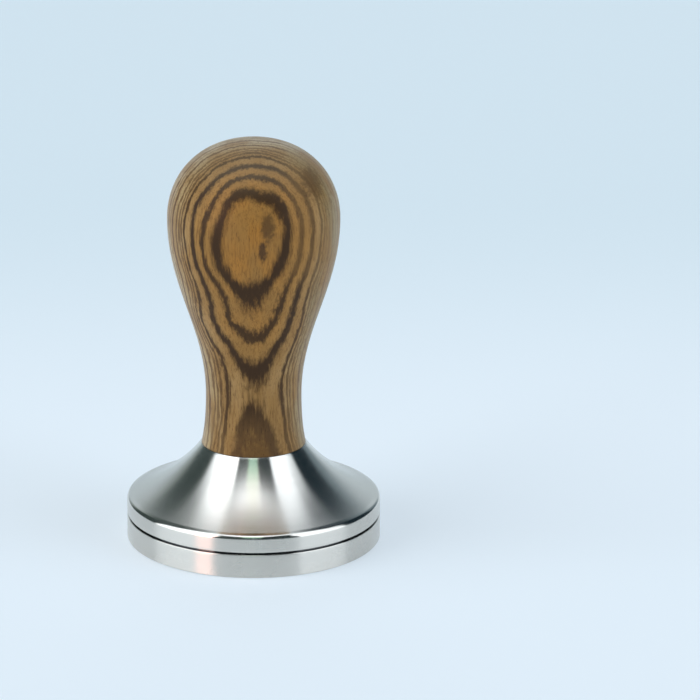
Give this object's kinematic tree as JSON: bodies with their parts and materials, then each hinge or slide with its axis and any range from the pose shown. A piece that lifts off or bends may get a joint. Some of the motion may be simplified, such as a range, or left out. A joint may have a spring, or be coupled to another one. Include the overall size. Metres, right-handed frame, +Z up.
{
  "type": "espresso tamper",
  "caption": "Hand tamper: a flat round turned-steel base with a flared neck and a screw-on waisted wooden handle with a bulb top.",
  "frame": {"origin": "centre of the flat tamping face, on the surface that the tamper stands on", "axes": "+Z up along the turning axis, from the tamping face to the crown of the handle; +Y away from the side whose grain shows closed ovals"},
  "size_m": [0.058, 0.058, 0.0938],
  "materials": {
    "stainless": "fine turned, polished flare",
    "zinc_steel": "zinc plated",
    "brass": "machined",
    "hardwood": "striped hardwood, satin oil"
  },
  "bodies": {
    "base": {"tamper_base": "stainless", "stud": "zinc_steel"},
    "insert": {"threaded_insert": "brass"},
    "handle": {"handle": "hardwood"}
  },
  "joints": [
    {"name": "handle_rise", "type": "slide", "parent": "base", "child": "insert", "axis": [0, 0, 1], "range_m": [0, 0.015]},
    {"name": "handle_unscrew", "type": "hinge", "parent": "insert", "child": "handle", "pos_m": [0, 0, 0], "axis": [0, 0, 1], "range_deg": [0, 4320]}
  ],
  "couplings": [
    {"joint": "handle_rise", "follows": "handle_unscrew", "m_per_rad": 0.00019894}
  ]
}
